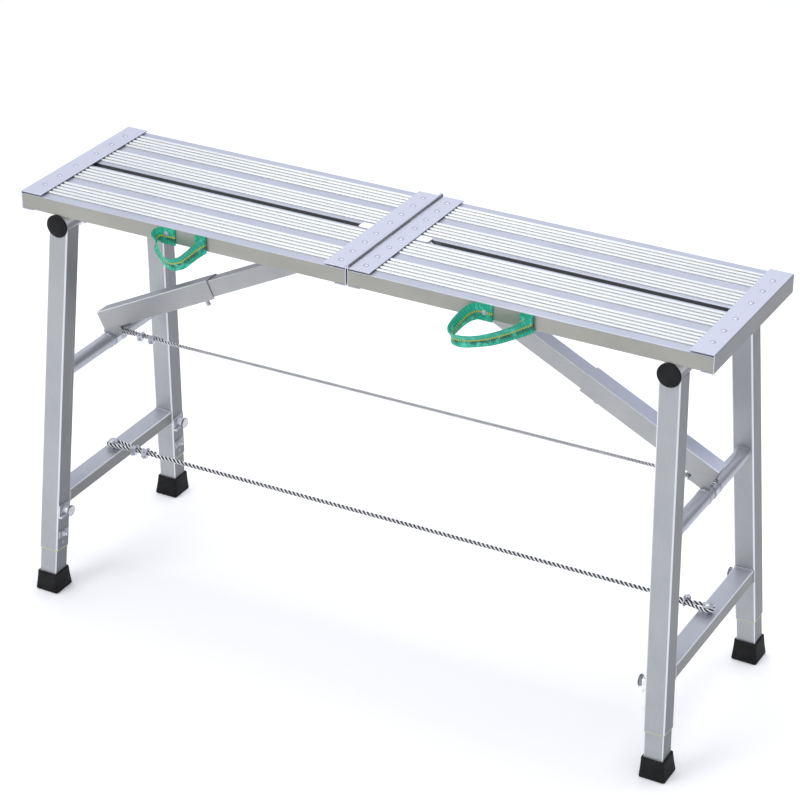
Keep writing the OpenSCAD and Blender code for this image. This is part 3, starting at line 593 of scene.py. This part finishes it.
def make_strap(word, material):
    line = resample(spline(STRAP_LINES[word]), 1.6)
    tangent = np.gradient(line, axis=0)
    tangent /= np.linalg.norm(tangent, axis=1)[:, None]
    arc = np.concatenate([[0], np.cumsum(np.linalg.norm(np.diff(line, axis=0), axis=1))])
    columns = 18
    profile = [(-1 + 2 * k / columns, 1) for k in range(columns + 1)]
    profile += [(1 - 2 * k / columns, -1) for k in range(columns + 1)]
    rings, uv = [], []
    for i, point in enumerate(line):
        away = min(1.0, max(0.0, (-point[1] - 155) / 28))
        lean = math.radians(26 * away)
        upright = np.array([0, -math.sin(lean), math.cos(lean)])
        wide = upright - (upright @ tangent[i]) * tangent[i]
        wide /= np.linalg.norm(wide)
        out = np.cross(tangent[i], wide)
        hang = min(1.0, max(0.0, (-point[1] - 152.5) / 12))
        ripple = 0.5 * math.sin(arc[i] / 9.0) * hang
        ring = []
        for v, face in profile:
            crease = hang * (3.0 * (abs(v) ** 1.1 - 1) + 1.2) + ripple * v
            edge = math.sqrt(max(0.0, 1 - max(0.0, abs(v) - 0.9) ** 2 / 0.0101))
            thick = 0.5 * STRAP_THICK * (0.35 + 0.65 * edge) * face
            narrow = 1 - 0.06 * hang
            ring.append(tuple(point + wide * v * narrow * STRAP_WIDTH / 2 + out * (crease + thick)))
            uv.append((arc[i] * MM, v * STRAP_WIDTH / 2 * MM))
        rings.append(ring)
    points = [p for ring in rings for p in ring]
    strap = mesh_piece(f"{word}_carry_strap", points, loft(rings), material,
                       f"{word}_deck", uv=uv, flat_above=60)
    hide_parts(f"{word}_strap")


# ---------------------------------------------------------------- feet and leg details

def make_foot(word, side, row_word, row, material):
    """Rubber boot: flared base with a rounded rim, a soft collar and the tube's socket."""
    low, high = np.array((548.4, 181.3)), np.array((547.2, 182.1))
    levels = [(0.0, -1.6, 3.2), (0.5, -0.5, 3.4), (1.5, 0.0, 3.6), (4.0, 0.0, 3.6),
              (4.7, -0.55, 3.4), (5.4, -0.55, 3.4)]        # height, inset, corner radius
    rings = []

    def ring(z, inset, radius, share):
        half = (1 - share) * np.array((21.6, 22.4)) + share * np.array((18.9, 19.4)) + inset
        centre = (1 - share) * low + share * high
        return [(side * (centre[0] + x), row * (centre[1] + y), z)
                for x, y in rounded_rectangle(half[0], half[1], radius)]

    for z, inset, radius in levels:
        rings.append(ring(z, inset, radius, max(0.0, (z - 3) / 32)))
    for z in (6.0, 12.0, 20.0, 28.0, 31.5):
        rings.append(ring(z, -0.35 * math.sin(math.pi * (z - 3) / 32), 3.6, (z - 3) / 32))
    rings += [ring(33.6, 0.0, 3.4, 1.0), ring(34.6, -0.4, 3.2, 1.0), ring(35.0, -1.2, 2.8, 1.0),
              ring(34.8, -2.4, 2.4, 1.0), ring(32.0, -3.0, 2.2, 1.0)]
    points = [p for r in rings for p in r]
    foot = mesh_piece(f"{word}_{row_word}_boot", points, loft(rings), material,
                      f"{word}_{row_word}_telescope", flat_above=40)
    if side * row < 0:
        foot.data.flip_normals()
    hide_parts(f"{word}_{row_word}_foot")


def make_bush(word, side, row_word, row, material):
    """Thin plastic guide that shows as a line where the extension tube leaves the leg."""
    matrix = leg_matrix(side, row)
    rings = []
    for half, radius, z in ((LEG_SIZE / 2 - 0.2, 2.9, 0.0), (LEG_SIZE / 2 - 0.05, 3.0, -0.4),
                            (LEG_SIZE / 2 - 0.3, 2.8, -1.3), (EXTENSION_SIZE / 2 + 0.1, 2.3, -1.5),
                            (EXTENSION_SIZE / 2 + 0.1, 2.3, 0.0)):
        rings.append([tuple(matrix @ Vector((x, y, z - LEG_LENGTH)))
                      for x, y in rounded_rectangle(half, half, radius)])
    faces = loft(rings, close=False)
    points = [p for r in rings for p in r]
    mesh_piece(f"{word}_{row_word}_guide_bush", points, faces, material,
               f"{word}_leg_frame", flat_above=40)


def weld_bead(name, path, matrix, radius, material, body):
    """Closed rippled bead along a loop of points."""
    loop = resample(path + [path[0]], 0.9)[:-1]
    count, sides = len(loop), 8
    rings = []
    for i in range(count):
        tangent = loop[(i + 1) % count] - loop[i - 1]
        tangent /= np.linalg.norm(tangent)
        a = np.cross(tangent, (0, 1, 0))
        a /= np.linalg.norm(a)
        b = np.cross(tangent, a)
        swell = radius * (1 + 0.16 * math.sin(2 * math.pi * i / 2.9) + 0.06 * math.sin(i * 1.7))
        rings.append([tuple(matrix @ Vector(loop[i] + swell * (math.cos(2 * math.pi * k / sides) * a
                                                              + math.sin(2 * math.pi * k / sides) * b)))
                      for k in range(sides)])
    rings.append(rings[0])
    points = [p for r in rings for p in r]
    mesh_piece(name, points, loft(rings, close=False), material, body)


def make_welds(word, side, material):
    """Weld beads where the cross tube and the lower rail meet the legs."""
    slope = math.tan(math.radians(LEAN))
    matrix = frame_matrix(side)
    circle = [(CROSS_R * math.cos(a / 24 * math.pi), CROSS_R * math.sin(a / 24 * math.pi)) for a in range(48)]
    for row_word, row in ROWS:
        for label, drop, outline in (
                ("cross", CROSS_DROP, circle),
                ("rail", RAIL_DROP, rounded_rectangle(RAIL_W / 2, RAIL_H / 2, 2.4))):
            inner = LEG_TOP_Y - LEG_SIZE / 2 / math.cos(math.radians(LEAN)) - 0.8
            path = [(x, row * (inner + (drop - z) * slope), z - drop) for x, z in outline]
            weld_bead(f"{word}_{row_word}_{label}_weld", path, matrix, 1.3, material, f"{word}_leg_frame")


# ---------------------------------------------------------------- put together

make_camera()
make_world()
area_light("key", (-1.6, -2.6, 3.0), (0, 0, 0.45), (1.6, 1.6), 34, (1.0, 0.99, 0.97))
area_light("top", (0.2, 0.6, 3.2), (0, 0, 0.5), (2.6, 1.8), 46, (0.96, 0.97, 1.0))

floor_data = bpy.data.meshes.new("floor")
floor_data.from_pydata([(-14, -14, 0), (14, -14, 0), (14, 14, 0), (-14, 14, 0)], [], [(0, 1, 2, 3)])
floor_data.materials.append(pale_floor())
floor = bpy.data.objects.new("floor", floor_data)
floor.location.z = -0.0004
scene.collection.objects.link(floor)

GRAIN_X, GRAIN_Y, GRAIN_Z = (4, 900, 900), (900, 4, 900), (900, 900, 4)
deck = deck_metal()
# side colours below are painted shade, top colours painted light and shade, edge colours painted highlights
channel = metal("folded_sheet", (0.57, 0.59, 0.68), (0.51, 0.53, 0.62), 0.5, 0.38, GRAIN_Y,
                edge=0.0006, edge_highlight_colour=(0.88, 0.89, 0.95), painted_side_shade=(0.21, 0.21, 0.22))
leg = metal("leg_tube", (0.44, 0.45, 0.465), (0.38, 0.39, 0.41), 0.45, 0.42, GRAIN_Z, corner=(0, 1),
            edge_highlight_colour=(0.93, 0.94, 0.98), painted_side_shade=(0.20, 0.205, 0.215))
rail = metal("rail_tube", (0.50, 0.51, 0.56), (0.43, 0.44, 0.50), 0.5, 0.38, GRAIN_Y, corner=(0, 2),
             edge_highlight_colour=(0.93, 0.94, 0.98), painted_side_shade=(0.20, 0.20, 0.205))
cross = metal("cross_tube_metal", (0.60, 0.61, 0.67), (0.56, 0.57, 0.63), 0.55, 0.30, GRAIN_Y,
              relief=0.000004, painted_side_shade=(0.42, 0.43, 0.47))
plate = metal("lock_plate_metal", (0.33, 0.34, 0.40), (0.27, 0.28, 0.34), 0.45, 0.34, (300, 300, 300),
              edge_highlight_colour=(0.92, 0.93, 0.97), round_part=(0.95, 0.95, 0.97))
knob = metal("pull_pin_metal", (0.62, 0.63, 0.66), (0.50, 0.51, 0.54), 0.5, 0.30, (300, 300, 300),
             edge=0.0009, edge_highlight_colour=(0.95, 0.95, 0.97), round_part=(0.10, 0.10, 0.11))
bracket = metal("bracket_zinc", (0.60, 0.61, 0.64), (0.50, 0.51, 0.54), 0.3, 0.40, (240, 240, 240),
                painted_top_light_shade=((0.90, 0.91, 0.93), (0.90, 0.91, 0.93)))
brace = metal("brace_channel", (0.44, 0.445, 0.45), (0.37, 0.375, 0.38), 0.5, 0.36, GRAIN_X, corner=(1, 2),
              edge_highlight_colour=(0.96, 0.97, 1.0), painted_top_light_shade=((0.30, 0.31, 0.34), (0.66, 0.69, 0.82)))
hinge = metal("hinge_pin_steel", (0.50, 0.51, 0.53), (0.40, 0.41, 0.43), 0.9, 0.30, GRAIN_Y)
rivet = metal("rivet_metal", (0.50, 0.52, 0.60), (0.42, 0.44, 0.53), 0.6, 0.34, (300, 300, 300),
              relief=0.000004)
zinc = metal("zinc_plated", (0.60, 0.61, 0.66), (0.47, 0.48, 0.53), 0.85, 0.28, (240, 240, 240))
chrome = metal("bright_pin", (0.80, 0.81, 0.84), (0.66, 0.67, 0.71), 0.95, 0.16, (200, 200, 200))
weld = metal("weld_metal", (0.55, 0.56, 0.60), (0.40, 0.41, 0.45), 0.8, 0.38, (700, 700, 700))
caps = dark_polymer("cap_black", (0.008, 0.008, 0.0085), 0.42, 900)
rubber = dark_polymer("rubber_black", (0.010, 0.010, 0.010), 0.62, 700)
fine_rope = rope_metal("strand_bright", (0.98, 0.98, 1.0), (0.15, 0.5))
heavy_rope = rope_metal("strand_zinc", (0.98, 0.98, 1.0), (0.42, 0.70))
band = webbing()
guide = bush_plastic()

FINISH = {
    "plank": deck, "end_channel": channel, "hinge_channel": channel, "hinge_pin": hinge,
    "deck_rivets": rivet, "tube_saddles": zinc, "brace_bracket": bracket, "brace_pin": chrome,
    "pivot_tube": rail, "tube_caps": caps, "leg": leg, "cross_tube": cross, "lower_rail": rail,
    "lock_plates": plate, "rope_bolt": zinc, "upper_rope_fittings": zinc, "lower_clips": zinc,
    "extension": leg, "foot": rubber, "pull_pin": knob, "brace_upper": brace, "brace_lower": brace,
    "brace_plunger": bracket, "upper_rope": fine_rope, "lower_rope": heavy_rope, "strap": band,
}
for name, item in cad.items():
    ending = max((e for e in FINISH if name.endswith(e)), key=len)
    item.data.materials.clear()
    item.data.materials.append(FINISH[ending])

sin_tilt, cos_tilt = math.sin(math.radians(TILT)), math.cos(math.radians(TILT))
cross_x, cross_z = PIVOT_X + CROSS_DROP * sin_tilt, PIVOT_Z - CROSS_DROP * cos_tilt
bolt_x = PIVOT_X + (RAIL_DROP - RAIL_H / 2) * sin_tilt
make_rope("upper", cross_x, cross_z + CROSS_R + RING_WALL + ROPE_PLAY + UPPER_ROPE_R,
          UPPER_POST_R, UPPER_ROPE_R,
          {"left": [59, 81], "right": [33, 55]}, 17.0, fine_rope)
make_rope("lower", bolt_x, LOWER_ROPE_Z, LOWER_POST_R, LOWER_ROPE_R,
          {"left": [45, 67], "right": [37]}, 23.0, heavy_rope)

for word, side in SIDES:
    make_strap(word, band)
    make_welds(word, side, weld)
    for row_word, row in ROWS:
        make_foot(word, side, row_word, row, rubber)
        make_bush(word, side, row_word, row, guide)

scene.view_settings.view_transform = "Standard"
scene.view_settings.look = "None"
